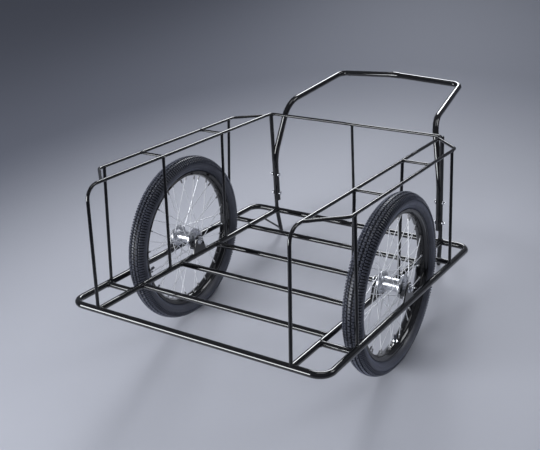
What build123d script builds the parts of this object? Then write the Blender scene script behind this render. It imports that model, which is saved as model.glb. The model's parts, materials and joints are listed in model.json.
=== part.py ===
from build123d import *
import os
from math import acos, asin, atan2, cos, degrees, hypot, radians, sin, sqrt

os.makedirs("parts", exist_ok=True)

# Hand cart: a welded rod basket on a tube base, two spoked wheels and a bent
# push handle. Millimetres. Every piece is drawn with the base level and the
# wheel axis at the origin, X across and +Y to the handle. Then all of them
# are tipped together onto the rear feet, as the cart parks, and moved so that
# the origin lies on the floor under the middle of the whole cart.

# Wheels
rim_edge_diameter = 421.0
tyre_height = 44.5
tyre_width = 54.0
tyre_wall = 4.0
tyre_neck_inset = 0.3
rim_width = 32.0
rim_depth = 17.0
rim_side_height = 9.0
rim_wall = 2.2
rim_lip_radius = 1.8
bead_depth = 5.0
tyre_seat = 0.1

# Hub, axle and spokes
over_locknut = 92.0
hub_shell_diameter = 36.0
hub_root_radius = 6.0
flange_diameter = 66.0
flange_thickness = 3.6
flange_inset = 16.0
hub_boss_diameter = 42.0
hub_boss_taper = 4.0
hub_end_diameter = 24.0
hub_end_length = 9.0
hub_bore_clearance = 0.05
spoke_circle = 57.0
spoke_count = 36
spoke_crossings = 3
spoke_diameter = 2.2
spoke_seat = 0.15
spoke_hole_clearance = 0.2
spoke_head_diameter = 4.2
spoke_head_height = 1.2
spoke_tip_gap = 0.6
spoke_rim_spread = 3.0
nipple_width = 3.6
nipple_length = 12.0
axle_diameter = 9.5
axle_bore_clearance = 0.02
axle_stickout = 14.0
cone_diameter = 17.0
cone_gap = 0.4
washer_diameter = 25.0
washer_thickness = 2.0
nut_across_flats = 15.0
nut_length = 6.5
nut_chamfer = 0.8

# Base
rail_diameter = 19.0
inner_rail_diameter = 17.0
rail_drop = 45.0
base_half_length = 455.0
inner_rail_x = 303.0
base_corner_radius = 37.0
slat_diameter = 16.0
slat_count = 4
well_bar_clearance = 52.0

# Axle brackets, whose hub faces stand a little outside the rail centres
inner_face_offset = 0.5
outer_face_offset = 1.5
bracket_thickness = 4.0
bracket_foot = 70.0
bracket_head = 32.0
bracket_chamfer = 0.8

# Basket
rod_diameter = 9.5
basket_height = 349.0
hoop_front_radius = 38.0
hoop_rear_radius = 14.0
rear_lean = 28.0
outer_rod_diameter = 9.0
outer_top_inset = 12.0
outer_front_setback = 136.0
outer_rear_setback = 133.0
outer_front_join = 55.0
outer_rear_join = 55.0
outer_bend_radius = 22.0
mid_post_y = 143.0
outer_post_setback = 157.0
post_diameter = 9.0
corner_post_diameter = 13.0
link_diameter = 8.0

# Rear feet
foot_diameter = 14.0
foot_drop = 81.0
foot_back = 14.0
foot_inward = 7.0
brace_diameter = 6.5
brace_reach = 92.0
brace_foot_rise = 9.0

# Handle, whose legs are pressed round the rear corner posts and bolted through
handle_diameter = 19.0
handle_bottom = 40.0
handle_bend_height = 200.0
leg_inset = 6.0
leg_seat = 0.1
leg_lip_inset = 1.5
shoulder_inset = 37.0
shoulder_back = 13.0
shoulder_rise = 34.0
grip_half_width = 222.0
grip_corner_back = 315.0
grip_corner_rise = 83.5
grip_peak_back = 289.0
grip_peak_rise = 101.0
handle_leg_radius = 260.0
shoulder_radius = 65.0
grip_corner_radius = 25.0
grip_peak_radius = 60.0
collar_diameter = 21.0
collar_length = 28.0
bolt_low = 66.0
bolt_high = 134.0
bolt_diameter = 6.0
bolt_clearance = 0.2
bolt_washer_diameter = 13.0
bolt_washer_thickness = 1.2
bolt_across_flats = 10.0
bolt_head_height = 4.0
bolt_tail = 3.0

# Worked out from the sizes above
wheel_radius = rim_edge_diameter / 2 + tyre_height
rail_r = rail_diameter / 2
inner_rail_r = inner_rail_diameter / 2
rod_r = rod_diameter / 2
corner_post_r = corner_post_diameter / 2
foot_r = foot_diameter / 2
handle_r = handle_diameter / 2
axle_r = axle_diameter / 2
wheel_centre_x = inner_rail_x + over_locknut / 2 + inner_face_offset
outer_rail_x = wheel_centre_x + over_locknut / 2 + outer_face_offset
outer_top_x = outer_rail_x - outer_top_inset
flange_spacing = over_locknut - 2 * flange_inset
well_bar_y = wheel_radius + slat_diameter / 2 + well_bar_clearance
outer_post_y = base_half_length - outer_post_setback
base_z = -rail_drop
top_z = base_z + basket_height
slat_pitch = 2 * base_half_length / (slat_count + 1)
rear_top_y = base_half_length - rear_lean
lean_slope = rear_lean / basket_height
foot_y = base_half_length + foot_back
foot_z = base_z - foot_drop
foot_x = inner_rail_x - foot_inward
reach = hypot(foot_y, foot_z)
lean = degrees(asin((wheel_radius - foot_r) / reach) - atan2(-foot_z, foot_y))
stand = Pos(0, 0, wheel_radius) * Rot(-lean, 0, 0)


pieces = {}


def keep(work, name):
    pieces[name] = stand * work.part


def keep_pair(work, name):
    with BuildPart() as other:
        mirror(work.part, about=Plane.YZ)
    keep(work, name + "_right")
    keep(other, name + "_left")


# Base loop: one closed tube around both wheels
with BuildPart() as base_loop:
    with BuildLine(Plane.XY.offset(base_z)):
        loop_corners = [
            (-outer_rail_x, -base_half_length),
            (outer_rail_x, -base_half_length),
            (outer_rail_x, base_half_length),
            (-outer_rail_x, base_half_length),
        ]
        FilletPolyline(*loop_corners, radius=base_corner_radius, close=True)
    with BuildSketch(Plane.YZ.offset(0)):
        with Locations((-base_half_length, base_z)):
            Circle(rail_r)
    sweep()

# Inner rail, coped to the front and rear bars
with BuildPart() as inner_rail:
    with BuildSketch(Plane.XZ.offset(base_half_length)):
        with Locations((inner_rail_x, base_z)):
            Circle(inner_rail_r)
    extrude(amount=-2 * base_half_length)
    add(base_loop.part, mode=Mode.SUBTRACT)

# Floor slats across the basket, evenly spaced
with BuildPart() as floor_slats:
    with BuildSketch(Plane.YZ.offset(-inner_rail_x)):
        with Locations((0, base_z)):
            with GridLocations(slat_pitch, 0, slat_count, 1):
                Circle(slat_diameter / 2)
    extrude(amount=2 * inner_rail_x)
    add(inner_rail.part, mode=Mode.SUBTRACT)
    add(mirror(inner_rail.part, about=Plane.YZ, mode=Mode.PRIVATE), mode=Mode.SUBTRACT)

# Short bars closing each wheel well ahead of and behind the wheel
with BuildPart() as well_bars:
    with BuildSketch(Plane.YZ.offset(inner_rail_x)):
        with Locations((-well_bar_y, base_z), (well_bar_y, base_z)):
            Circle(slat_diameter / 2)
    extrude(amount=outer_rail_x - inner_rail_x)
    add(inner_rail.part, mode=Mode.SUBTRACT)
    add(base_loop.part, mode=Mode.SUBTRACT)

# Basket hoop: front posts, side rails and the rear bar in one bent rod
with BuildPart() as basket_hoop:
    with BuildLine():
        hoop_corners = [
            (inner_rail_x, -base_half_length, base_z),
            (inner_rail_x, -base_half_length, top_z),
            (inner_rail_x, rear_top_y, top_z),
            (-inner_rail_x, rear_top_y, top_z),
            (-inner_rail_x, -base_half_length, top_z),
            (-inner_rail_x, -base_half_length, base_z),
        ]
        hoop_radii = [hoop_front_radius, hoop_rear_radius, hoop_rear_radius, hoop_front_radius]
        FilletPolyline(*hoop_corners, radius=hoop_radii)
    with BuildSketch(Plane.XY.offset(base_z)):
        with Locations((inner_rail_x, -base_half_length)):
            Circle(rod_r)
    sweep()
    add(base_loop.part, mode=Mode.SUBTRACT)
    add(inner_rail.part, mode=Mode.SUBTRACT)
    add(mirror(inner_rail.part, about=Plane.YZ, mode=Mode.PRIVATE), mode=Mode.SUBTRACT)

# Outer side rail, cranked in at both ends to the hoop
with BuildPart() as outer_side_rail:
    with BuildLine(Plane.XY.offset(top_z)) as outer_path:
        outer_corners = [
            (inner_rail_x, outer_front_join - base_half_length),
            (outer_top_x, outer_front_setback - base_half_length),
            (outer_top_x, base_half_length - outer_rear_setback),
            (inner_rail_x, base_half_length - outer_rear_join),
        ]
        FilletPolyline(*outer_corners, radius=outer_bend_radius)
    with BuildSketch(Plane(origin=outer_path.line @ 0, z_dir=outer_path.line % 0)):
        Circle(outer_rod_diameter / 2)
    sweep()
    add(basket_hoop.part, mode=Mode.SUBTRACT)

# Upright rods between the inner rail and the hoop
with BuildPart() as inner_posts:
    with BuildSketch(Plane.XY.offset(base_z)):
        with Locations((inner_rail_x, -mid_post_y), (inner_rail_x, mid_post_y)):
            Circle(post_diameter / 2)
    extrude(amount=basket_height)
    add(inner_rail.part, mode=Mode.SUBTRACT)
    add(basket_hoop.part, mode=Mode.SUBTRACT)

# Upright rods between the outer rail and the outer side rail
outer_tilt = outer_top_x - outer_rail_x
with BuildPart() as outer_posts:
    for post_y in (-outer_post_y, outer_post_y):
        foot_point = Vector(outer_rail_x, post_y, base_z)
        head_point = Vector(outer_top_x, post_y, top_z)
        with BuildSketch(Plane(origin=foot_point, z_dir=head_point - foot_point)):
            Circle(post_diameter / 2)
        extrude(amount=(head_point - foot_point).length)
    add(base_loop.part, mode=Mode.SUBTRACT)
    add(outer_side_rail.part, mode=Mode.SUBTRACT)

# Rear posts lean forward from the rear bar to the hoop. The handle bolts pass
# through the corner ones.
post_slope = Vector(0, -rear_lean, basket_height)
corner_post_plane = Plane(origin=(inner_rail_x, base_half_length, base_z), z_dir=post_slope)
bolt_spots = [(base_half_length - lean_slope * h, base_z + h) for h in (bolt_low, bolt_high)]
bolt_bore_r = bolt_diameter / 2 + bolt_clearance
with BuildPart() as rear_corner_post:
    with BuildSketch(corner_post_plane):
        Circle(corner_post_r)
    extrude(amount=post_slope.length)
    add(base_loop.part, mode=Mode.SUBTRACT)
    add(inner_rail.part, mode=Mode.SUBTRACT)
    add(basket_hoop.part, mode=Mode.SUBTRACT)
    with BuildSketch(Plane.YZ.offset(inner_rail_x)):
        with Locations(*bolt_spots):
            Circle(bolt_bore_r)
    extrude(amount=corner_post_r, both=True, mode=Mode.SUBTRACT)
with BuildPart() as rear_centre_post:
    with BuildSketch(Plane(origin=(0, base_half_length, base_z), z_dir=post_slope)):
        Circle(post_diameter / 2)
    extrude(amount=post_slope.length)
    add(base_loop.part, mode=Mode.SUBTRACT)
    add(basket_hoop.part, mode=Mode.SUBTRACT)

# Links holding the outer side rail off the hoop
with BuildPart() as side_links:
    with BuildSketch(Plane.YZ.offset(inner_rail_x)):
        with Locations((-mid_post_y, top_z), (mid_post_y, top_z)):
            Circle(link_diameter / 2)
    extrude(amount=outer_top_x - inner_rail_x)
    add(inner_posts.part, mode=Mode.SUBTRACT)
    add(basket_hoop.part, mode=Mode.SUBTRACT)
    add(outer_side_rail.part, mode=Mode.SUBTRACT)

# Rear foot with a domed end
foot_top = Vector(inner_rail_x, base_half_length, base_z)
foot_end = Vector(foot_x, foot_y, foot_z)
with BuildPart() as rear_foot:
    with BuildSketch(Plane(origin=foot_top, z_dir=foot_end - foot_top)):
        Circle(foot_r)
    extrude(amount=(foot_end - foot_top).length)
    with Locations(foot_end):
        Sphere(foot_r)
    add(base_loop.part, mode=Mode.SUBTRACT)
    add(inner_rail.part, mode=Mode.SUBTRACT)

# Thin brace from the inner rail to the foot
brace_start = Vector(inner_rail_x, base_half_length - brace_reach, base_z)
brace_end = foot_end + (foot_top - foot_end).normalized() * brace_foot_rise
with BuildPart() as foot_brace:
    with BuildSketch(Plane(origin=brace_start, z_dir=brace_end - brace_start)):
        Circle(brace_diameter / 2)
    extrude(amount=(brace_end - brace_start).length)
    add(inner_rail.part, mode=Mode.SUBTRACT)
    add(rear_foot.part, mode=Mode.SUBTRACT)

# Axle brackets: plates on the rails either side of the hub, whose edges run from a
# wide foot to touch a round head
bracket_reach = hypot(bracket_foot / 2, base_z)
edge_angle = acos(bracket_head / 2 / bracket_reach) + atan2(base_z, bracket_foot / 2)
shoulder_y = bracket_head / 2 * cos(edge_angle)
shoulder_z = bracket_head / 2 * sin(edge_angle)
with BuildPart() as axle_brackets:
    for side in (-1, 1):
        face_x = wheel_centre_x + side * over_locknut / 2
        with BuildSketch(Plane.YZ.offset(face_x)):
            with BuildLine():
                Polyline(
                    (-bracket_foot / 2, base_z),
                    (bracket_foot / 2, base_z),
                    (shoulder_y, shoulder_z),
                    (-shoulder_y, shoulder_z),
                    close=True,
                )
            make_face()
            Circle(bracket_head / 2)
            Circle(axle_r + axle_bore_clearance, mode=Mode.SUBTRACT)
        extrude(amount=side * bracket_thickness)
    plate_faces = axle_brackets.faces().filter_by(Axis.X)
    chamfer([face.outer_wire().edges() for face in plate_faces], length=bracket_chamfer)
    add(inner_rail.part, mode=Mode.SUBTRACT)
    add(base_loop.part, mode=Mode.SUBTRACT)

# Axle with its cones, washers and nuts
half_old = over_locknut / 2
hub_half = flange_spacing / 2 + flange_thickness / 2 + hub_end_length
with BuildPart() as axle:
    with BuildSketch(Plane.YZ.offset(wheel_centre_x)):
        Circle(axle_r)
    extrude(amount=half_old + axle_stickout, both=True)
with BuildPart() as axle_nuts:
    for side in (-1, 1):
        washer_x = wheel_centre_x + side * (half_old + bracket_thickness)
        with BuildSketch(Plane.YZ.offset(washer_x)):
            RegularPolygon(nut_across_flats / 2, 6, major_radius=False)
        extrude(amount=side * (washer_thickness + nut_length))
    nut_ends = axle_nuts.faces().filter_by(Axis.X).sort_by(Axis.X)
    chamfer(nut_ends[0].edges() + nut_ends[-1].edges(), length=nut_chamfer)
    for side in (-1, 1):
        washer_x = wheel_centre_x + side * (half_old + bracket_thickness)
        with BuildSketch(Plane.YZ.offset(washer_x)):
            Circle(washer_diameter / 2)
        extrude(amount=side * washer_thickness)
        cone_x = wheel_centre_x + side * (hub_half + cone_gap)
        with BuildSketch(Plane.YZ.offset(cone_x)):
            Circle(cone_diameter / 2)
        extrude(amount=side * (half_old - hub_half - cone_gap))
    add(axle.part, mode=Mode.SUBTRACT)

# What the handle's legs are cut by: the corner post with its seat, and all that
# would lie outboard of the legs' lips
leg_x = inner_rail_x - leg_inset
with BuildPart() as leg_seat_cut:
    with BuildSketch(corner_post_plane):
        Circle(corner_post_r + leg_seat)
    extrude(amount=post_slope.length)
    with BuildSketch(Plane.XY.offset(base_z)):
        with Locations((inner_rail_x - leg_lip_inset, base_half_length)):
            Rectangle(handle_diameter, 4 * handle_diameter, align=(Align.MIN, Align.CENTER))
    extrude(amount=basket_height)
    mirror(about=Plane.YZ)

# Handle: one bent tube from leg to leg, with a collar over the middle of the grip
leg_foot = Vector(leg_x, base_half_length - lean_slope * handle_bottom, base_z + handle_bottom)
leg_bend_y = base_half_length - lean_slope * handle_bend_height
leg_bend = Vector(leg_x, leg_bend_y, base_z + handle_bend_height)
shoulder = Vector(leg_x - shoulder_inset, base_half_length + shoulder_back, top_z + shoulder_rise)
grip_corner = Vector(grip_half_width, base_half_length + grip_corner_back, top_z + grip_corner_rise)
grip_peak = Vector(0, base_half_length + grip_peak_back, top_z + grip_peak_rise)
half_route = [leg_foot, leg_bend, shoulder, grip_corner]
other_half = [Vector(-point.X, point.Y, point.Z) for point in reversed(half_route)]
half_radii = [handle_leg_radius, shoulder_radius, grip_corner_radius]
collar_reach = (grip_corner - grip_peak).normalized() * (collar_length / 2)
collar_end = grip_peak + collar_reach
collar_other_end = Vector(-collar_end.X, collar_end.Y, collar_end.Z)
with BuildPart() as handle:
    with BuildLine():
        handle_radii = [*half_radii, grip_peak_radius, *reversed(half_radii)]
        FilletPolyline(*half_route, grip_peak, *other_half, radius=handle_radii)
    with BuildSketch(Plane(origin=leg_foot, z_dir=leg_bend - leg_foot)):
        Circle(handle_r)
    sweep()
    with BuildLine():
        FilletPolyline(collar_end, grip_peak, collar_other_end, radius=grip_peak_radius)
    with BuildSketch(Plane(origin=collar_end, z_dir=grip_peak - collar_end)):
        Circle(collar_diameter / 2)
    sweep()
    add(leg_seat_cut.part, mode=Mode.SUBTRACT)
    with BuildSketch(Plane.YZ):
        with Locations(*bolt_spots):
            Circle(bolt_bore_r)
    extrude(amount=inner_rail_x, both=True, mode=Mode.SUBTRACT)

# Bolts through leg and post: head and washer inboard, washer and nut outboard
bolt_start_x = leg_x - handle_r
bolt_end_x = inner_rail_x + corner_post_r
with BuildPart() as handle_bolts:
    for face_x, out in ((bolt_start_x, -1), (bolt_end_x, 1)):
        with BuildSketch(Plane.YZ.offset(face_x + out * bolt_washer_thickness)):
            with Locations(*bolt_spots):
                RegularPolygon(bolt_across_flats / 2, 6, major_radius=False)
        extrude(amount=out * bolt_head_height)
    outer_faces = handle_bolts.faces().filter_by(Axis.X).group_by(Axis.X)
    chamfer([face.edges() for face in outer_faces[0] + outer_faces[-1]], length=nut_chamfer)
    for face_x, out in ((bolt_start_x, -1), (bolt_end_x, 1)):
        with BuildSketch(Plane.YZ.offset(face_x)):
            with Locations(*bolt_spots):
                Circle(bolt_washer_diameter / 2)
        extrude(amount=out * bolt_washer_thickness)
    with BuildSketch(Plane.YZ.offset(bolt_start_x)):
        with Locations(*bolt_spots):
            Circle(bolt_diameter / 2)
    bolt_grip = bolt_end_x - bolt_start_x
    extrude(amount=bolt_grip + bolt_washer_thickness + bolt_head_height + bolt_tail)

# Wheel, drawn about its own middle plane and moved out at the end
wheel_move = Pos(wheel_centre_x, 0, 0)
rim_edge_r = rim_edge_diameter / 2
rim_half = rim_width / 2
rim_inner_r = rim_edge_r - rim_depth
rim_side_r = rim_edge_r - rim_side_height
rim_lip_x = rim_half - rim_wall + rim_lip_radius
with BuildPart() as rim:
    with BuildSketch(Plane.XY):
        for inset, mode in ((0, Mode.ADD), (rim_wall, Mode.SUBTRACT)):
            with BuildLine():
                side_x = rim_half - inset
                Polyline((-side_x, rim_side_r), (-side_x, rim_edge_r), (side_x, rim_edge_r), (side_x, rim_side_r))
                ThreePointArc((side_x, rim_side_r), (0, rim_inner_r + inset), (-side_x, rim_side_r))
            make_face(mode=mode)
        with Locations((-rim_lip_x, rim_edge_r - rim_lip_radius), (rim_lip_x, rim_edge_r - rim_lip_radius)):
            Circle(rim_lip_radius)
    revolve(axis=Axis.X)

tyre_r = tyre_width / 2
crown_r = wheel_radius - tyre_r
bead_outer_x = rim_half - rim_wall - tyre_seat
bead_inner_x = bead_outer_x - tyre_wall
bead_r = rim_edge_r - bead_depth
sidewall_r = rim_edge_r + tyre_seat
with BuildPart() as tyre:
    with BuildSketch(Plane.XY):
        with Locations((0, crown_r)):
            Circle(tyre_r)
            Circle(tyre_r - tyre_wall, mode=Mode.SUBTRACT)
        with Locations((0, sidewall_r)):
            Rectangle(2 * tyre_width, tyre_width, align=(Align.CENTER, Align.MAX), mode=Mode.SUBTRACT)
        neck_x = sqrt(tyre_r**2 - (crown_r - sidewall_r) ** 2) - tyre_neck_inset
        for side in (-1, 1):
            with BuildLine():
                Polyline(
                    (side * bead_inner_x, bead_r),
                    (side * bead_outer_x, bead_r),
                    (side * bead_outer_x, sidewall_r),
                    (side * neck_x, sidewall_r),
                    (side * neck_x, sidewall_r + tyre_wall),
                    (side * bead_inner_x, sidewall_r),
                    close=True,
                )
            make_face()
    revolve(axis=Axis.X)

# Hub: a turned shell between two flanges, drilled for the spokes
per_side = spoke_count // 2
hub_step = 360 / per_side
shell_r = hub_shell_diameter / 2
hub_end_r = hub_end_diameter / 2
flange_outer_x = flange_spacing / 2 + flange_thickness / 2
flange_inner_x = flange_spacing / 2 - flange_thickness / 2
boss_end_x = flange_outer_x + hub_boss_taper
with BuildPart() as hub:
    with BuildSketch(Plane.XY):
        with BuildLine():
            Line((0, 0), (hub_half, 0))
            Polyline((hub_half, 0), (hub_half, hub_end_r), (boss_end_x, hub_end_r))
            Polyline((boss_end_x, hub_end_r), (flange_outer_x, hub_boss_diameter / 2))
            Polyline(
                (flange_outer_x, hub_boss_diameter / 2),
                (flange_outer_x, flange_diameter / 2),
                (flange_inner_x, flange_diameter / 2),
                (flange_inner_x, shell_r + hub_root_radius),
            )
            root_end = (flange_inner_x - hub_root_radius, shell_r)
            TangentArc((flange_inner_x, shell_r + hub_root_radius), root_end, tangent=(0, -1))
            Line(root_end, (0, shell_r))
            mirror(about=Plane.YZ)
        make_face()
    revolve(axis=Axis.X)
    with BuildSketch(Plane.YZ):
        Circle(axle_r + hub_bore_clearance)
    extrude(amount=hub_half, both=True, mode=Mode.SUBTRACT)
    for side in (-1, 1):
        with BuildSketch(Plane.YZ.offset(side * flange_spacing / 2)):
            with PolarLocations(spoke_circle / 2, per_side, start_angle=side * hub_step / 4):
                Circle(spoke_diameter / 2 + spoke_hole_clearance)
        extrude(amount=flange_thickness / 2, both=True, mode=Mode.SUBTRACT)

# Spokes: each hooks through its flange by a headed elbow, crosses three others of
# that flange and ends in a nipple at the rim. Those on the outer face bend over
# the flange edge, those on the inner face run straight. Their section is an
# octagon, which keeps 72 of them light.
sweep_angle = spoke_crossings * hub_step
spoke_r = spoke_diameter / 2
face_offset = flange_thickness / 2 + spoke_r + spoke_seat
head_offset = flange_thickness / 2 + spoke_seat
rim_seat_r = rim_inner_r - spoke_tip_gap
edge_r = flange_diameter / 2 + spoke_diameter


def polar(radius, angle, x):
    return Vector(x, radius * cos(radians(angle)), radius * sin(radians(angle)))


def run_to(radius, start, aim):
    along = start.Y * aim.Y + start.Z * aim.Z
    return sqrt(along**2 + radius**2 - start.Y**2 - start.Z**2) - along


spoke_seeds = []
for side in (-1, 1):
    for turn in (1, -1):
        hub_angle = side * hub_step / 4 + (1 - turn) / 2 * hub_step
        head = polar(spoke_circle / 2, hub_angle, side * (flange_spacing / 2 - turn * head_offset))
        root = polar(spoke_circle / 2, hub_angle, side * (flange_spacing / 2 + turn * face_offset))
        tip = polar(rim_seat_r, hub_angle + turn * sweep_angle, side * spoke_rim_spread)
        aim = (Vector(root.X, tip.Y, tip.Z) - root).normalized()
        bend = root + aim * run_to(edge_r, root, aim)
        route = [head, root, bend, tip] if turn > 0 else [head, root, tip]
        lie = (tip - route[-2]).normalized()
        with BuildPart() as spoke_seed:
            with BuildLine():
                Polyline(*route)
            with BuildSketch(Plane(origin=head, z_dir=root - head)):
                RegularPolygon(spoke_r, 8)
            sweep(transition=Transition.RIGHT)
            with BuildSketch(Plane(origin=head, z_dir=head - root)):
                RegularPolygon(spoke_head_diameter / 2, 8)
            extrude(amount=spoke_head_height)
            with BuildSketch(Plane(origin=tip, z_dir=-lie)):
                Rectangle(nipple_width, nipple_width)
            extrude(amount=nipple_length)
        spoke_seeds.append(spoke_seed.part)
with BuildPart() as spokes:
    for seed in spoke_seeds:
        for copy in range(per_side // 2):
            add(seed.rotate(Axis.X, copy * 2 * hub_step))

keep(base_loop, "base_loop")
keep_pair(inner_rail, "inner_rail")
keep(floor_slats, "floor_slats")
keep_pair(well_bars, "well_bars")
keep(basket_hoop, "basket_hoop")
keep_pair(outer_side_rail, "outer_side_rail")
keep_pair(inner_posts, "inner_posts")
keep_pair(outer_posts, "outer_posts")
keep_pair(rear_corner_post, "rear_corner_post")
keep(rear_centre_post, "rear_centre_post")
keep_pair(side_links, "side_links")
keep_pair(rear_foot, "rear_foot")
keep_pair(foot_brace, "foot_brace")
keep_pair(axle_brackets, "axle_brackets")
keep_pair(axle, "axle")
keep_pair(axle_nuts, "axle_nuts")
keep(handle, "handle")
keep_pair(handle_bolts, "handle_bolts")
for work, name in ((rim, "rim"), (tyre, "tyre"), (hub, "hub"), (spokes, "spokes")):
    work.part = wheel_move * work.part
    keep_pair(work, name)

# The origin goes to the middle of the cart's box, on the floor
boxes = [piece.bounding_box() for piece in pieces.values()]
middle_y = (min(box.min.Y for box in boxes) + max(box.max.Y for box in boxes)) / 2
for name, piece in pieces.items():
    piece = Pos(0, -middle_y, 0) * piece
    piece.label = name
    export_step(piece, "parts/" + name + ".step")
print("origin behind the wheel axis, mm:", round(middle_y, 3))
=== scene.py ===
import bpy
import bmesh
import json
import math
import random
import numpy as np
from mathutils import Matrix, Vector
from mathutils.bvhtree import BVHTree


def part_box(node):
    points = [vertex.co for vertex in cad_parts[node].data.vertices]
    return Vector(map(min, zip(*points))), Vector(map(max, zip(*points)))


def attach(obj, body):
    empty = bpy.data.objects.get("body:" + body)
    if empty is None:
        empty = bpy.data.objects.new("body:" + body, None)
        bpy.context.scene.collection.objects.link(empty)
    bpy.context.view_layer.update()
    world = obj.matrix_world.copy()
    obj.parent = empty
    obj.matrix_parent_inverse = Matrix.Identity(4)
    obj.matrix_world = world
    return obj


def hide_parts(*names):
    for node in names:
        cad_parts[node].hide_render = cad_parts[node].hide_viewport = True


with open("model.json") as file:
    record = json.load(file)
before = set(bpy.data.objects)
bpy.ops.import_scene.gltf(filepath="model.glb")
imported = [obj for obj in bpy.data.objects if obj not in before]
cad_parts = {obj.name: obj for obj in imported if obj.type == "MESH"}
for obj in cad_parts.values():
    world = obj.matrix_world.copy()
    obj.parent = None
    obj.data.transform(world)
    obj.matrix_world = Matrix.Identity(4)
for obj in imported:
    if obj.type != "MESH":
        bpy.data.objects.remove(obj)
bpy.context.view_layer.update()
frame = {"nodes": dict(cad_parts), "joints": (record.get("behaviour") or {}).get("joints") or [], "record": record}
scene = bpy.context.scene
joints = {joint["child"]: joint for joint in frame["joints"]}
wheelCentres = {body: Vector(joint["pos_m"]) for body, joint in joints.items()}
axleMiddle = sum(wheelCentres.values(), Vector()) / len(wheelCentres)
print("frame loaded:", len(frame["nodes"]), "nodes")

# The cart stands tipped back on its rear feet. The view is set from the cart's own
# level, so it is tipped by the same angle about the wheel axis. Lens in millimetres,
# place in metres from the middle of the wheel axis, angles in degrees.
view = {"lens": 59.16, "place": (1.2586, -2.0140, 1.0122), "azimuth": 32.825,
        "elevation": 20.879, "roll": -1.178, "lean": 15.671}
tip = Matrix.Rotation(math.radians(-view["lean"]), 4, "X")
fromLevel = Matrix.Translation(axleMiddle) @ tip


def makeCamera():
    turn = (Matrix.Rotation(math.radians(view["azimuth"]), 4, "Z")
            @ Matrix.Rotation(math.radians(90 - view["elevation"]), 4, "X")
            @ Matrix.Rotation(math.radians(view["roll"]), 4, "Z"))
    data = bpy.data.cameras.new("camera")
    data.lens = view["lens"]
    camera = bpy.data.objects.new("camera", data)
    camera.matrix_world = fromLevel @ Matrix.Translation(view["place"]) @ turn
    scene.collection.objects.link(camera)
    scene.camera = camera


makeCamera()
print("camera set")


def newMaterial(name, **sockets):
    material = bpy.data.materials.new(name)
    material.use_nodes = True
    tree = material.node_tree
    shader = tree.nodes["Principled BSDF"]
    for socket, value in sockets.items():
        shader.inputs[socket.replace("_", " ")].default_value = value
    return material, tree, shader


def objectPoints(tree):
    return tree.nodes.new("ShaderNodeTexCoord").outputs["Object"]


def noiseNode(tree, scale, detail=2.0, roughness=0.5, points=None):
    noise = tree.nodes.new("ShaderNodeTexNoise")
    noise.inputs["Scale"].default_value = scale
    noise.inputs["Detail"].default_value = detail
    noise.inputs["Roughness"].default_value = roughness
    tree.links.new(points or objectPoints(tree), noise.inputs["Vector"])
    return noise.outputs["Fac"]


def spread(tree, value, low, high, fromLow=0.3, fromHigh=0.7):
    remap = tree.nodes.new("ShaderNodeMapRange")
    remap.inputs["From Min"].default_value = fromLow
    remap.inputs["From Max"].default_value = fromHigh
    remap.inputs["To Min"].default_value = low
    remap.inputs["To Max"].default_value = high
    tree.links.new(value, remap.inputs["Value"])
    return remap.outputs["Result"]


def blendColours(tree, value, first, second, low=0.35, high=0.65):
    ramp = tree.nodes.new("ShaderNodeValToRGB")
    ramp.color_ramp.elements[0].color = (*first, 1)
    ramp.color_ramp.elements[1].color = (*second, 1)
    ramp.color_ramp.elements[0].position = low
    ramp.color_ramp.elements[1].position = high
    tree.links.new(value, ramp.inputs["Fac"])
    return ramp.outputs["Color"]


def addBump(tree, shader, height, strength, distance, under=None):
    bump = tree.nodes.new("ShaderNodeBump")
    bump.inputs["Strength"].default_value = strength
    bump.inputs["Distance"].default_value = distance
    tree.links.new(height, bump.inputs["Height"])
    if under:
        tree.links.new(under, bump.inputs["Normal"])
    tree.links.new(bump.outputs["Normal"], shader.inputs["Normal"])
    return bump.outputs["Normal"]


# Gloss black enamel: orange peel, faint dust and slightly uneven gloss. In this and the
# finishes below, a noise is its scale and detail, and a depth is in metres.
enamel = {"colour": (0.0035, 0.0036, 0.0042), "dusted": (0.007, 0.007, 0.0085),
          "roughness": (0.03, 0.07), "gloss": 0.35, "coat": 0.6, "coatRoughness": 0.02,
          "dust": (14, 4), "unevenness": (55, 3), "peel": (420, 1), "peelStrength": 0.25,
          "peelDepth": 0.00004}
rimEnamel = {**enamel, "roughness": (0.03, 0.08), "peelDepth": 0.00003}


def makeEnamel(name, settings):
    material, tree, shader = newMaterial(name, Specular_IOR_Level=settings["gloss"],
                                         Coat_Weight=settings["coat"],
                                         Coat_Roughness=settings["coatRoughness"])
    dust = noiseNode(tree, *settings["dust"])
    tree.links.new(blendColours(tree, dust, settings["colour"], settings["dusted"]),
                   shader.inputs["Base Color"])
    unevenness = noiseNode(tree, *settings["unevenness"])
    tree.links.new(spread(tree, unevenness, *settings["roughness"]), shader.inputs["Roughness"])
    peel = noiseNode(tree, *settings["peel"])
    addBump(tree, shader, peel, settings["peelStrength"], settings["peelDepth"])
    return material


# Bright zinc plate on axles, nuts and bolts
zinc = {"colour": (0.78, 0.79, 0.81), "stained": (0.62, 0.63, 0.66), "metallic": 1.0,
        "roughness": (0.16, 0.30), "stains": (90, 3), "smears": (160, 3), "grain": (900, 2),
        "grainStrength": 0.15, "grainDepth": 0.00004}
# Paler and duller wire on the spokes. Nickel covers it from nippleStart outwards, in
# metres from the wheel axis.
wire = {**zinc, "colour": (0.93, 0.94, 0.96), "stained": (0.82, 0.83, 0.87), "metallic": 0.3,
        "roughness": (0.34, 0.48), "nippleStart": 0.1815, "nippleBlend": 0.0002,
        "nippleColour": (0.20, 0.20, 0.21)}


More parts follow.
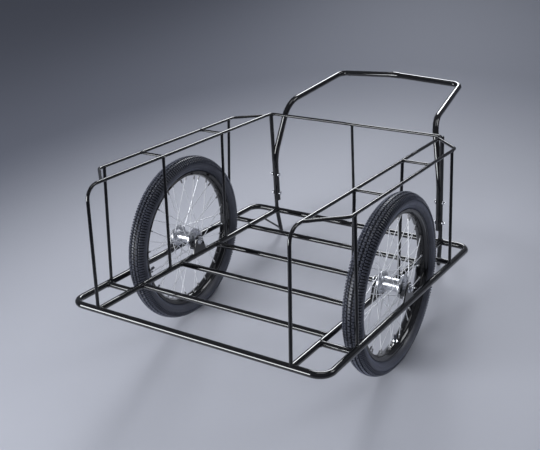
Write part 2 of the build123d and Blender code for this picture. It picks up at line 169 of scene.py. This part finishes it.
def addNickel(tree, colour, settings):
    # a huge X scale leaves only the distance from the wheel axis
    aroundAxle = tree.nodes.new("ShaderNodeMapping")
    aroundAxle.vector_type = "TEXTURE"
    aroundAxle.inputs["Location"].default_value = axleMiddle
    aroundAxle.inputs["Scale"].default_value = (1e6, 1, 1)
    radius = tree.nodes.new("ShaderNodeVectorMath")
    radius.operation = "LENGTH"
    tree.links.new(objectPoints(tree), aroundAxle.inputs["Vector"])
    tree.links.new(aroundAxle.outputs["Vector"], radius.inputs[0])
    start, blend = settings["nippleStart"], settings["nippleBlend"]
    outside = spread(tree, radius.outputs["Value"], 0, 1, start - blend, start + blend)
    nickel = tree.nodes.new("ShaderNodeMix")
    nickel.data_type = "RGBA"
    nickel.inputs["B"].default_value = (*settings["nippleColour"], 1)
    tree.links.new(outside, nickel.inputs["Factor"])
    tree.links.new(colour, nickel.inputs["A"])
    return nickel.outputs["Result"]


def makeZinc(name, settings):
    material, tree, shader = newMaterial(name, Metallic=settings["metallic"])
    stains = noiseNode(tree, *settings["stains"])
    colour = blendColours(tree, stains, settings["colour"], settings["stained"])
    if "nippleStart" in settings:
        colour = addNickel(tree, colour, settings)
    tree.links.new(colour, shader.inputs["Base Color"])
    smears = noiseNode(tree, *settings["smears"])
    tree.links.new(spread(tree, smears, *settings["roughness"]), shader.inputs["Roughness"])
    grain = noiseNode(tree, *settings["grain"])
    addBump(tree, shader, grain, settings["grainStrength"], settings["grainDepth"])
    return material


# Turned and polished steel of the hub shells, with fine rings round the wheel axis
turned = {"colour": (0.72, 0.73, 0.76), "stained": (0.55, 0.56, 0.60), "roughness": (0.22, 0.36),
          "stains": (60, 3), "smears": (130, 3), "rings": (900, 2), "stretch": (1, 0.02, 0.02),
          "ringStrength": 0.3, "ringDepth": 0.00005}


def makeTurned(name, settings):
    material, tree, shader = newMaterial(name, Metallic=1.0)
    stains = noiseNode(tree, *settings["stains"])
    tree.links.new(blendColours(tree, stains, settings["colour"], settings["stained"]),
                   shader.inputs["Base Color"])
    smears = noiseNode(tree, *settings["smears"])
    tree.links.new(spread(tree, smears, *settings["roughness"]), shader.inputs["Roughness"])
    stretch = tree.nodes.new("ShaderNodeMapping")
    stretch.inputs["Scale"].default_value = settings["stretch"]
    tree.links.new(objectPoints(tree), stretch.inputs["Vector"])
    rings = noiseNode(tree, *settings["rings"], points=stretch.outputs["Vector"])
    addBump(tree, shader, rings, settings["ringStrength"], settings["ringDepth"])
    return material


# Black rubber with a faint blue sheen, paler where it is dusty. The dust's third value
# is its roughness.
rubber = {"colour": (0.040, 0.043, 0.058), "dusted": (0.056, 0.060, 0.079),
          "roughness": (0.34, 0.46), "gloss": 0.65, "sheen": 0.45, "sheenRoughness": 0.4,
          "sheenTint": (0.62, 0.70, 1.0, 1), "dust": (35, 5, 0.6), "wear": (80, 4),
          "ringScale": 190, "ringStrength": 0.5, "ringDepth": 0.00009, "grain": (1100, 3),
          "grainStrength": 0.35, "grainDepth": 0.00010}
# Painted shade: the casing between the tread blocks is the same rubber drawn near black, as if shaded in the
# grooves
grooveShade = {**rubber, "colour": (0.006, 0.006, 0.008), "dusted": (0.012, 0.012, 0.015),
          "gloss": 0.3, "sheen": 0.1}


def makeRubber(name, settings):
    material, tree, shader = newMaterial(name, Specular_IOR_Level=settings["gloss"],
                                         Sheen_Weight=settings["sheen"],
                                         Sheen_Roughness=settings["sheenRoughness"],
                                         Sheen_Tint=settings["sheenTint"])
    dust = noiseNode(tree, *settings["dust"])
    tree.links.new(blendColours(tree, dust, settings["colour"], settings["dusted"]),
                   shader.inputs["Base Color"])
    wear = noiseNode(tree, *settings["wear"])
    tree.links.new(spread(tree, wear, *settings["roughness"]), shader.inputs["Roughness"])
    # fine moulded rings round the wheel axis, under the grain
    centred = tree.nodes.new("ShaderNodeMapping")
    centred.inputs["Location"].default_value = -axleMiddle
    rings = tree.nodes.new("ShaderNodeTexWave")
    rings.wave_type = "RINGS"
    rings.rings_direction = "X"
    rings.inputs["Scale"].default_value = settings["ringScale"]
    tree.links.new(objectPoints(tree), centred.inputs["Vector"])
    tree.links.new(centred.outputs["Vector"], rings.inputs["Vector"])
    moulded = addBump(tree, shader, rings.outputs["Fac"], settings["ringStrength"],
                      settings["ringDepth"])
    grain = noiseNode(tree, *settings["grain"])
    addBump(tree, shader, grain, settings["grainStrength"], settings["grainDepth"], under=moulded)
    return material


finishes = {"frame_paint": makeEnamel("frameEnamel", enamel),
            "rim_paint": makeEnamel("rimEnamel", rimEnamel),
            "plated_steel": makeZinc("zincPlate", zinc),
            "hub_metal": makeTurned("turnedSteel", turned),
            "tyre": makeRubber("tyreRubber", rubber)}
spokeWire = makeZinc("spokeWire", wire)
grooveShadeRubber = makeRubber("tyreGroovePaintedShade", grooveShade)
for part in frame["record"]["subparts"]:
    node = frame["nodes"][part["node"]]
    isWire = part["node"].startswith("spokes")
    node.data.materials.clear()
    node.data.materials.append(spokeWire if isWire else finishes[part["material_slot"]])
print("finishes on the CAD nodes")

sharpAngle = 38  # degrees past which an edge stays sharp
mergeDistance = 1e-6  # metres

def finishPiece(shape, name, body, slot):
    bmesh.ops.recalc_face_normals(shape, faces=shape.faces)
    mesh = bpy.data.meshes.new(name)
    shape.to_mesh(mesh)
    shape.free()
    for face in mesh.polygons:
        face.use_smooth = True
    mesh.set_sharp_from_angle(angle=math.radians(sharpAngle))
    mesh.materials.append(finishes[slot])
    piece = bpy.data.objects.new(name, mesh)
    scene.collection.objects.link(piece)
    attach(piece, body)
    return piece


def outline(shape, points, closed=False):
    verts = [shape.verts.new(point) for point in points]
    pairs = list(zip(verts, verts[1:])) + ([(verts[-1], verts[0])] if closed else [])
    return verts, [shape.edges.new(pair) for pair in pairs]


def addShape(shape, other):
    mesh = bpy.data.meshes.new("passing")
    other.to_mesh(mesh)
    other.free()
    shape.from_mesh(mesh)
    bpy.data.meshes.remove(mesh)


def spinRound(shape, verts, edges, centre, steps, axis=(1, 0, 0)):
    bmesh.ops.spin(shape, geom=verts + edges, cent=centre, axis=axis, angle=2 * math.pi,
                   steps=steps, use_merge=True)


# Lengths in metres, angles in degrees. The casing is an oval on the rim's edge. The
# tread is rows of blocks set round that oval: angle, shift along the row in pitches,
# width across, length along, height, turn. The ribs are raised rings on the side walls:
# angle, radius of their section.
# The casing within grooveShadeAngle of the crown is drawn near black, as painted shade in the grooves between the
# blocks.
tyre = {"crown": 0.0036, "halfWidth": 0.0263, "lowerRise": 0.0206, "wall": 0.0035,
        "neckAngle": 149, "beadDepth": 0.0046, "steps": 188, "sectionSteps": 40, "pitches": 94,
        "sunk": 0.0012, "grooveShadeAngle": 72, "edge": 0.0005, "taper": 0.84, "ribSides": 6,
        "rows": ((0, 0, 0.0082, 0.0062, 0.0036, 18), (0, 0.5, 0.0082, 0.0062, 0.0036, -18),
                 (22.5, 0.25, 0.0072, 0.0060, 0.0036, 18),
                 (22.5, 0.75, 0.0072, 0.0060, 0.0036, -18),
                 (43, 0, 0.0086, 0.0048, 0.0036, 0), (43, 0.5, 0.0086, 0.0048, 0.0036, 0),
                 (64, 0, 0.0098, 0.0044, 0.0031, 0), (64, 0.5, 0.0098, 0.0044, 0.0031, 0)),
        "ribs": ((84, 0.0004), (108, 0.0006), (131, 0.0008))}


def makeTyre(side):
    body = "wheel_" + side
    centre = wheelCentres[body]
    low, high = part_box("tyre_" + side)
    rimLow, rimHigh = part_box("rim_" + side)
    outer = (high.z - low.z) / 2
    rimEdge = (rimHigh.z - rimLow.z) / 2
    middle = outer - (high.x - low.x) / 2
    upperRise = outer - middle - tyre["crown"]

    def onSection(degrees, inset=0.0):
        angle = math.radians(degrees)
        rise = upperRise if abs(degrees) < 90 else tyre["lowerRise"]
        return Vector((math.sin(angle) * (tyre["halfWidth"] - inset), 0,
                       middle + math.cos(angle) * (rise - inset)))

    shape = bmesh.new()
    neck = tyre["neckAngle"]
    halfSteps = tyre["sectionSteps"] / 2
    swing = [neck * (step / halfSteps - 1) for step in range(tyre["sectionSteps"] + 1)]
    beadHalf = onSection(neck).x
    beadEnd = rimEdge - tyre["beadDepth"]
    foot = [Vector((beadHalf, 0, beadEnd)), Vector((beadHalf - tyre["wall"], 0, beadEnd))]
    section = ([onSection(angle) for angle in swing] + foot
               + [onSection(angle, tyre["wall"]) for angle in reversed(swing)]
               + [Vector((-point.x, 0, point.z)) for point in reversed(foot)])
    verts, edges = outline(shape, [centre + point for point in section], closed=True)
    spinRound(shape, verts, edges, centre, tyre["steps"])
    # casing faces out towards the crown take the second material, the near-black painted shade of the grooves
    grooveShadeSide = onSection(tyre["grooveShadeAngle"]).z
    for face in shape.faces:
        spot = face.calc_center_median() - centre
        face.material_index = int(math.hypot(spot.y, spot.z) > grooveShadeSide)

    # raised rings on the side walls
    for angle, size in tyre["ribs"]:
        for hand in (-1, 1):
            place = (Matrix.Translation(centre + onSection(angle * hand))
                     @ Matrix.Rotation(math.pi / 2, 4, "X"))
            ring = bmesh.ops.create_circle(shape, radius=size, segments=tyre["ribSides"],
                                           matrix=place)["verts"]
            ringEdges = list({edge for vert in ring for edge in vert.link_edges})
            spinRound(shape, ring, ringEdges, centre, tyre["steps"])

    # tread blocks, one of each row, then copied round
    pitch = 2 * math.pi / tyre["pitches"]
    for angle, shift, width, length, height, turn in tyre["rows"]:
        for hand in ((1, -1) if angle else (1,)):
            row = bmesh.new()
            top = [vert for vert in bmesh.ops.create_cube(row, size=1)["verts"] if vert.co.z > 0]
            bmesh.ops.scale(row, vec=(tyre["taper"], tyre["taper"], 1), verts=top)
            bmesh.ops.translate(row, vec=(0, 0, 0.5), verts=row.verts)
            bmesh.ops.scale(row, vec=(width, length, height + tyre["sunk"]), verts=row.verts)
            topEdges = [edge for edge in row.edges
                        if edge.verts[0] in top and edge.verts[1] in top]
            bmesh.ops.bevel(row, geom=topEdges, offset=tyre["edge"], offset_type="OFFSET",
                            segments=1, profile=0.5, affect="EDGES", material=-1)
            place = (Matrix.Translation(centre) @ Matrix.Rotation(shift * pitch, 4, "X")
                     @ Matrix.Translation(onSection(angle * hand, tyre["sunk"]))
                     @ Matrix.Rotation(math.radians(angle * hand), 4, "Y")
                     @ Matrix.Rotation(math.radians(turn * hand), 4, "Z"))
            bmesh.ops.transform(row, matrix=place, verts=row.verts)
            bmesh.ops.spin(row, geom=row.faces[:], cent=centre, axis=(1, 0, 0),
                           angle=2 * math.pi - pitch, steps=tyre["pitches"] - 1,
                           use_duplicate=True)
            addShape(shape, row)
    piece = finishPiece(shape, "tyreTreaded" + side.capitalize(), body, "tyre")
    # the second material is the painted shade of the grooves
    piece.data.materials.append(grooveShadeRubber)
    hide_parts("tyre_" + side)
    return piece


for side in ("right", "left"):
    piece = makeTyre(side)
    print("tyre", side, len(piece.data.polygons), "faces")


# A deep rim with rolled lips, spun in the same steps as the casing that sits on it.
# Lengths in metres.
rim = {"depth": 0.017, "sideHeight": 0.009, "wall": 0.0022, "lip": 0.0018, "arcSteps": 14,
       "lipSteps": 14}


def makeRim(side):
    centre = wheelCentres["wheel_" + side]
    low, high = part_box("rim_" + side)
    edge = (high.z - low.z) / 2
    half = (high.x - low.x) / 2 - 2 * rim["lip"] + rim["wall"]
    lipMiddle = Vector((half - rim["wall"] + rim["lip"], 0, edge - rim["lip"]))

    def wellArc(inset):
        # from the middle of the well to the foot of the side wall
        reach = half - inset
        sag = rim["depth"] - rim["sideHeight"] - inset
        radius = (reach ** 2 + sag ** 2) / (2 * sag)
        swing = math.asin(reach / radius)
        top = edge - rim["depth"] + inset + radius
        return [Vector((radius * math.sin(swing * step / rim["arcSteps"]), 0,
                        top - radius * math.cos(swing * step / rim["arcSteps"])))
                for step in range(rim["arcSteps"] + 1)]

    startAngle = math.acos((half - lipMiddle.x) / rim["lip"])
    lip = [lipMiddle + rim["lip"] * Vector((math.cos(angle), 0, math.sin(angle)))
           for angle in (-startAngle + (math.pi + startAngle) * step / rim["lipSteps"]
                         for step in range(rim["lipSteps"] + 1))]
    halfSection = wellArc(0) + lip + wellArc(rim["wall"])[::-1]
    section = halfSection + [Vector((-point.x, 0, point.z)) for point in halfSection[::-1][1:-1]]
    shape = bmesh.new()
    verts, edges = outline(shape, [centre + point for point in section], closed=True)
    spinRound(shape, verts, edges, centre, tyre["steps"])
    piece = finishPiece(shape, "rimRolled" + side.capitalize(), "wheel_" + side, "rim_paint")
    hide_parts("rim_" + side)
    return piece


rims = {side: makeRim(side) for side in ("right", "left")}
print("rims rolled")


# Threaded at both ends, plain in the middle, with a small chamfer. Lengths in metres.
# A crest lies between two shares of the pitch.
thread = {"pitch": 0.00125, "depth": 0.0007, "threaded": 0.026, "chamfer": 0.0008,
          "endInset": 0.0004, "crest": (0.42, 0.58), "runOut": 0.0007, "steps": 28}


def makeAxle(side):
    low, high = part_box("axle_" + side)
    centre = (low + high) / 2
    radius = (high.z - low.z) / 2
    half = (high.x - low.x) / 2
    root = radius - thread["depth"]
    chamfer, pitch = thread["chamfer"], thread["pitch"]
    crestStart, crestEnd = thread["crest"]
    profile = [(half, 0), (half, radius - chamfer - thread["endInset"]), (half - chamfer, root)]
    for turn in range(round(thread["threaded"] / pitch)):
        start = half - chamfer - turn * pitch
        profile += [(start - crestStart * pitch, radius), (start - crestEnd * pitch, radius),
                    (start - pitch, root)]
    profile.append((profile[-1][0] - thread["runOut"], radius))
    points = profile + [(-across, height) for across, height in reversed(profile)]
    shape = bmesh.new()
    places = [centre + Vector((across, 0, height)) for across, height in points]
    verts, edges = outline(shape, places)
    spinRound(shape, verts, edges, centre, thread["steps"])
    bmesh.ops.remove_doubles(shape, verts=shape.verts, dist=mergeDistance)
    piece = finishPiece(shape, "threadedAxle" + side.capitalize(), "chassis", "plated_steel")
    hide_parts("axle_" + side)


for side in ("right", "left"):
    makeAxle(side)
print("axles threaded")


# A stem through the rim with a lock ring and a ribbed cap: length along and radius, in
# metres. The angle is in degrees from the top towards the handle. Cap corners further out
# than capGrip are drawn in by capRib at every second step.
valve = {"angle": {"right": 186, "left": 272}, "steps": 20,
         "stem": ((0, 0), (0, 0.0042), (0.002, 0.0042), (0.004, 0.0034), (0.013, 0.0032),
                  (0.0145, 0.0026), (0.016, 0.0026)),
         "ring": ((0.0003, 0), (0.0003, 0.0062), (0.0008, 0.0068), (0.0024, 0.0068),
                  (0.0029, 0.0062), (0.0029, 0)),
         "cap": ((0.0155, 0), (0.0155, 0.0036), (0.0160, 0.0040), (0.0235, 0.0040),
                 (0.0250, 0.0033), (0.0256, 0)),
         "capRibs": 20, "capRib": 0.0003, "capRadius": 0.004, "capGrip": 0.0034}


def makeValve(side):
    centre = wheelCentres["wheel_" + side]
    angle = math.radians(valve["angle"][side])
    outward = Vector((0, math.sin(angle), math.cos(angle)))
    surface = BVHTree.FromObject(rims[side], bpy.context.evaluated_depsgraph_get())
    base = surface.ray_cast(centre, outward)[0]
    turn = (-outward).to_track_quat("X", "Z").to_matrix().to_4x4()
    for part, slot in (("stem", "tyre"), ("ring", "plated_steel"), ("cap", "tyre")):
        shape = bmesh.new()
        places = [Vector((along, 0, radius)) for along, radius in valve[part]]
        verts, edges = outline(shape, places)
        spinRound(shape, verts, edges, Vector(), valve["steps"] * (2 if part == "cap" else 1))
        bmesh.ops.remove_doubles(shape, verts=shape.verts, dist=mergeDistance)
        if part == "cap":
            step = math.pi / valve["capRibs"]
            shrink = 1 - valve["capRib"] / valve["capRadius"]
            for vert in shape.verts:
                around = round(math.atan2(vert.co.y, vert.co.z) / step)
                if around % 2 and math.hypot(vert.co.y, vert.co.z) > valve["capGrip"]:
                    bmesh.ops.scale(shape, vec=(1, shrink, shrink), verts=[vert])
        bmesh.ops.transform(shape, matrix=Matrix.Translation(base) @ turn, verts=shape.verts)
        finishPiece(shape, "valve" + part.capitalize() + side.capitalize(), "wheel_" + side, slot)


for side in ("right", "left"):
    makeValve(side)
print("valves fitted")


# A bead follows the line where a rod's end meets the rod or tube that it stands on.
# Lengths in metres. A bead's radius is size times the rod's, between smallest and
# largest, and its middle stands out by a share of itself. Rays just clear of the rod look
# for the surface, from back before its end to reach past it. A bent rod is given with
# the direction of its ends while the cart is level.
weld = {"around": 26, "section": 6, "size": 0.30, "smallest": 0.0012, "largest": 0.0021,
        "lump": 0.16, "standOut": 0.25, "back": 0.008, "reach": 0.016, "clear": 0.0004,
        "seed": 7, "earDepth": 0.0004, "merge": 2e-6,
        "straight": ("inner_rail_right", "inner_rail_left", "floor_slats", "well_bars_right",
                     "well_bars_left", "inner_posts_right", "inner_posts_left",
                     "outer_posts_right", "outer_posts_left", "rear_corner_post_right",
                     "rear_corner_post_left", "rear_centre_post", "side_links_right",
                     "side_links_left", "foot_brace_right", "foot_brace_left"),
        "bent": (("basket_hoop", (0, 0, -1)),)}


def splitRods(node):
    # the corners of each separate rod of a CAD node, found on a merged copy
    shape = bmesh.new()
    shape.from_mesh(node.data)
    bmesh.ops.remove_doubles(shape, verts=shape.verts, dist=weld["merge"])
    shape.verts.ensure_lookup_table()
    left = set(shape.verts)
    rods = []
    while left:
        group = {left.pop()}
        newest = list(group)
        while newest:
            near = {link.other_vert(vert) for vert in newest for link in vert.link_edges} - group
            group |= near
            newest = list(near)
        left -= group
        rods.append(np.array([vert.co for vert in group]))
    shape.free()
    return rods


def straightEnds(points):
    middle = points.mean(0)
    axis = np.linalg.svd(points - middle, full_matrices=False)[2][0]
    along = (points - middle) @ axis
    across = np.linalg.norm(points - middle - np.outer(along, axis), axis=1)
    radius = float(np.median(across[across > 0.5 * across.max()]))
    return [(Vector(middle + axis * end), Vector(axis) * sign, radius)
            for end, sign in ((along.max(), 1), (along.min(), -1))]


def bentEnds(points, levelAxis):
    # each side's pair of ears of a hollowed end, furthest out along the level axis
    axis = tip.to_3x3() @ Vector(levelAxis)
    along = points @ np.array(axis)
    ears = points[along > along.max() - weld["earDepth"]]
    found = []
    for hand in (-1, 1):
        pair = ears[np.sign(ears[:, 0]) == hand]
        if len(pair):
            middle = (pair.min(0) + pair.max(0)) / 2
            found.append((Vector(middle), axis, float(np.linalg.norm(pair - middle, axis=1).max())))
    return found


def addBead(shape, end, axis, radius, surfaces, rng):
    # distance from the start ring to whatever the rod stands on, all round the rod
    back = weld["back"]
    ringRadius = radius + weld["clear"]
    turn = axis.to_track_quat("Z", "X").to_matrix().to_4x4()
    reached = []
    for step in range(weld["around"]):
        angle = 2 * math.pi * step / weld["around"]
        offset = Vector((math.cos(angle) * ringRadius, math.sin(angle) * ringRadius, -back))
        start = end + turn @ offset
        casts = [tree.ray_cast(start, axis, back + weld["reach"]) for tree in surfaces]
        found = [cast[3] for cast in casts if cast[0]]
        reached.append(min(found) if found else None)
    hits = [value for value in reached if value is not None]
    if len(hits) < weld["around"] / 3:
        return False
    furthest = max(hits)
    reached = [furthest if value is None else value for value in reached]
    size = min(max(weld["size"] * radius, weld["smallest"]), weld["largest"])
    beadMiddle = radius + weld["standOut"] * size
    bead = bmesh.new()
    ring = bmesh.ops.create_circle(bead, radius=size, segments=weld["section"],
                                   matrix=Matrix.Translation((beadMiddle, 0, 0))
                                   @ Matrix.Rotation(math.pi / 2, 4, "X"))["verts"]
    spinRound(bead, ring, bead.edges[:], Vector(), weld["around"], axis=(0, 0, 1))
    lumps = [1 + rng.uniform(-weld["lump"], weld["lump"]) for step in range(weld["around"])]
    for vert in bead.verts:
        share = math.atan2(vert.co.y, vert.co.x) / (2 * math.pi)
        step = round(share * weld["around"]) % weld["around"]
        outward = Vector((vert.co.x, vert.co.y, 0)).normalized()
        middle = outward * beadMiddle
        vert.co = middle + (vert.co - middle) * lumps[step]
        vert.co.z += reached[step] - back - weld["standOut"] * size
    bmesh.ops.transform(bead, matrix=Matrix.Translation(end) @ turn, verts=bead.verts)
    addShape(shape, bead)
    return True


def makeWelds():
    rng = random.Random(weld["seed"])
    depsgraph = bpy.context.evaluated_depsgraph_get()
    painted = [part["node"] for part in frame["record"]["subparts"]
               if part["material_slot"] == "frame_paint"]
    trees = {name: BVHTree.FromObject(frame["nodes"][name], depsgraph)
             for name in painted if name != "handle"}
    shape = bmesh.new()
    made = 0
    for name in weld["straight"]:
        surfaces = [tree for other, tree in trees.items() if other != name]
        for points in splitRods(frame["nodes"][name]):
            for end, axis, radius in straightEnds(points):
                made += addBead(shape, end, axis, radius, surfaces, rng)
    for name, levelAxis in weld["bent"]:
        surfaces = [tree for other, tree in trees.items() if other != name]
        points = np.concatenate(splitRods(frame["nodes"][name]))
        for end, axis, radius in bentEnds(points, levelAxis):
            made += addBead(shape, end, axis, radius, surfaces, rng)
    piece = finishPiece(shape, "weldBeads", "chassis", "frame_paint")
    print("weld beads:", made, "with", len(piece.data.polygons), "faces")


makeWelds()


# The floor is pale inside a soft oval, a painted pool of light, and painted shade darkens it beyond: the oval's
# place and half sizes in metres, its angle in degrees, and where its edge starts and ends as shares of those.
# The world's fill lights the cart, and the camera sees beyond past the floor.
studio = {"floorColour": (0.52, 0.53, 0.585), "paintedShadeColour": (0.155, 0.165, 0.205),
          "floorRoughness": 0.75, "floorSize": 60, "mottle": (3, 3), "mottleStrength": 0.04,
          "lightPoolPlace": (-0.02, -0.42, 0), "lightPoolAngle": 37.5, "lightPoolHalf": (1.85, 1.9),
          "lightPoolEdge": (0.40, 1.12), "fill": (0.75, 0.79, 0.9), "fillStrength": 0.22,
          "beyond": (0.042, 0.046, 0.060), "lampColour": (0.94, 0.965, 1.0),
          "lampAim": (0, 0, 0.3)}
# Direction from the aim, distance and size in metres, radiance, beam in degrees
lamps = {"frontSoftbox": {"along": (-0.50, -0.82, 0.25), "away": 4.2, "size": (2.2, 1.5),
                          "radiance": 15, "beam": 180},
         "backSoftbox": {"along": (-0.26, 0.87, 0.42), "away": 4.6, "size": (1.5, 2.2),
                         "radiance": 14, "beam": 75},
         "rightSoftbox": {"along": (0.67, 0.50, 0.52), "away": 4.0, "size": (1.4, 1.4),
                          "radiance": 5, "beam": 90},
         "overhead": {"along": (0.6, 0.3, 2.9), "away": 1, "size": (1.6, 1.6),
                      "radiance": 2.2, "beam": 100}}


def makeFloor():
    shape = bmesh.new()
    bmesh.ops.create_grid(shape, x_segments=1, y_segments=1, size=studio["floorSize"] / 2)
    mesh = bpy.data.meshes.new("floor")
    shape.to_mesh(mesh)
    shape.free()
    material, tree, shader = newMaterial("floorPaperPaintedPool", Roughness=studio["floorRoughness"])
    # painted pool of light round the cart: distance from the oval's middle, in shares of its half sizes
    lightPool = tree.nodes.new("ShaderNodeMapping")
    lightPool.vector_type = "TEXTURE"
    lightPool.inputs["Location"].default_value = studio["lightPoolPlace"]
    lightPool.inputs["Rotation"].default_value = (0, 0, math.radians(studio["lightPoolAngle"]))
    lightPool.inputs["Scale"].default_value = (*studio["lightPoolHalf"], 1)
    tree.links.new(objectPoints(tree), lightPool.inputs["Vector"])
    distance = tree.nodes.new("ShaderNodeVectorMath")
    distance.operation = "LENGTH"
    tree.links.new(lightPool.outputs["Vector"], distance.inputs[0])
    shade = spread(tree, distance.outputs["Value"], 0, 1, *studio["lightPoolEdge"])
    shade.node.interpolation_type = "SMOOTHSTEP"
    # a faint mottle of the paper's own tone, added to the painted shade
    mottledShade = tree.nodes.new("ShaderNodeMath")
    mottledShade.operation = "MULTIPLY_ADD"
    mottledShade.inputs[1].default_value = studio["mottleStrength"]
    tree.links.new(noiseNode(tree, *studio["mottle"]), mottledShade.inputs[0])
    tree.links.new(shade, mottledShade.inputs[2])
    # pale paper inside the painted pool of light, painted shade colour beyond it
    paintedPoolPaper = blendColours(tree, mottledShade.outputs["Value"], studio["floorColour"],
                         studio["paintedShadeColour"], 0, 1)
    tree.links.new(paintedPoolPaper, shader.inputs["Base Color"])
    mesh.materials.append(material)
    floor = bpy.data.objects.new("floor", mesh)
    scene.collection.objects.link(floor)


def areaLight(name, along, away, size, radiance, beam):
    aim = Vector(studio["lampAim"])
    opening = math.radians(beam)
    data = bpy.data.lights.new(name, "AREA")
    data.shape = "RECTANGLE"
    data.size, data.size_y = size
    data.color = studio["lampColour"]
    data.spread = opening
    # a narrow beam gathers the same power, so it gets less for the same brightness
    data.energy = (radiance * math.pi * size[0] * size[1]
                   * (1 - opening / 2 / math.tan(opening / 2)))
    lamp = bpy.data.objects.new(name, data)
    lamp.location = aim + away * Vector(along)
    lamp.rotation_euler = (aim - lamp.location).to_track_quat("-Z", "Y").to_euler()
    lamp.visible_camera = False
    scene.collection.objects.link(lamp)


def makeWorld():
    world = bpy.data.worlds.new("studioFill")
    world.use_nodes = True
    tree = world.node_tree
    fill = tree.nodes["Background"]
    fill.inputs["Color"].default_value = (*studio["fill"], 1)
    fill.inputs["Strength"].default_value = studio["fillStrength"]
    beyond = tree.nodes.new("ShaderNodeBackground")  # what the camera sees past the floor
    beyond.inputs["Color"].default_value = (*studio["beyond"], 1)
    chooser = tree.nodes.new("ShaderNodeMixShader")
    path = tree.nodes.new("ShaderNodeLightPath")
    tree.links.new(path.outputs["Is Camera Ray"], chooser.inputs["Fac"])
    tree.links.new(fill.outputs["Background"], chooser.inputs[1])
    tree.links.new(beyond.outputs["Background"], chooser.inputs[2])
    tree.links.new(chooser.outputs["Shader"], tree.nodes["World Output"].inputs["Surface"])
    scene.world = world


makeFloor()
for name, lamp in lamps.items():
    areaLight(name, **lamp)
makeWorld()
scene.view_settings.view_transform = "Standard"
print("floor and lights set")
